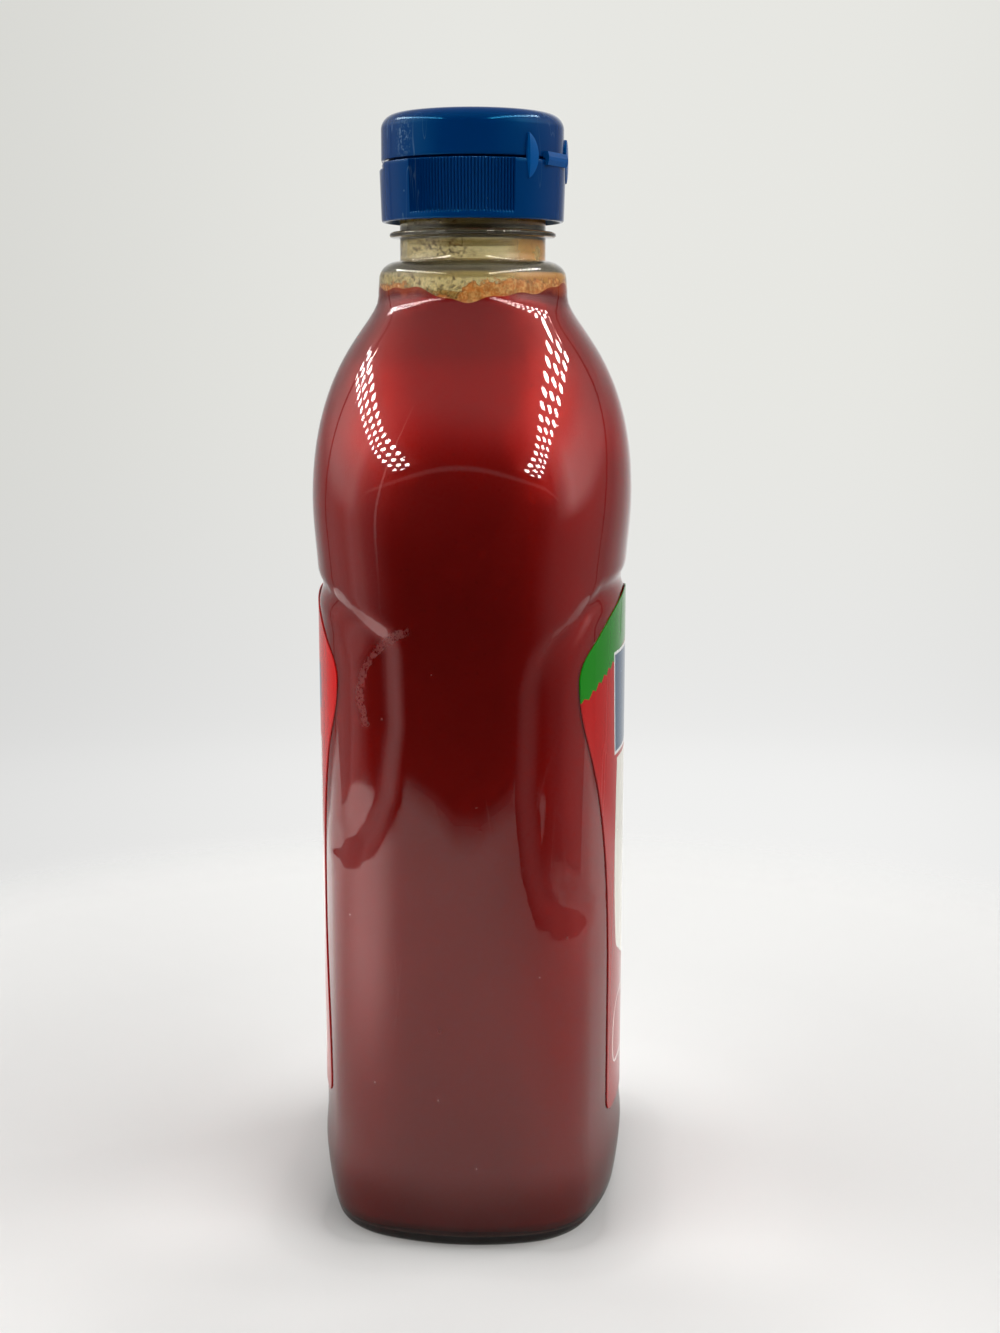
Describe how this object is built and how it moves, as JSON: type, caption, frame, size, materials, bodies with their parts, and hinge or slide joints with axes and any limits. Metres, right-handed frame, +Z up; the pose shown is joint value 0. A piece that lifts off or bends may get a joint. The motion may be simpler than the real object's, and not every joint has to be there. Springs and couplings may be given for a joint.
{
  "type": "ketchup bottle",
  "caption": "Clear squeeze bottle filled with ketchup, with front and back labels and a ribbed flip-top cap whose lid swings on a moulded hinge.",
  "frame": {"origin": "centre of the bottle's footprint, on the surface that it stands on", "axes": "+Z up the bottle's axis, -Y out of the front label, X across the narrow sides"},
  "size_m": [0.085, 0.0714, 0.247],
  "materials": {
    "clear_bottle": "clear glossy PET",
    "ketchup": "wet tomato sauce",
    "label_film": "printed glossy film",
    "cap_plastic": "glossy moulded polypropylene"
  },
  "bodies": {
    "bottle": {"bottle": "clear_bottle", "ketchup": "ketchup", "label_front": "label_film", "label_back": "label_film", "cap_base": "cap_plastic", "hinge_bar_lower": "cap_plastic", "strap_left_lower": "cap_plastic", "strap_right_lower": "cap_plastic"},
    "lid": {"cap_lid": "cap_plastic", "hinge_bar_upper": "cap_plastic", "strap_left_upper": "cap_plastic", "strap_right_upper": "cap_plastic"}
  },
  "joints": [
    {"name": "lid_hinge", "type": "hinge", "parent": "bottle", "child": "lid", "pos_m": [-0.00783, -0.01938, 0.2364], "axis": [0.9272, -0.3746, 0], "range_deg": [0, 150]}
  ]
}
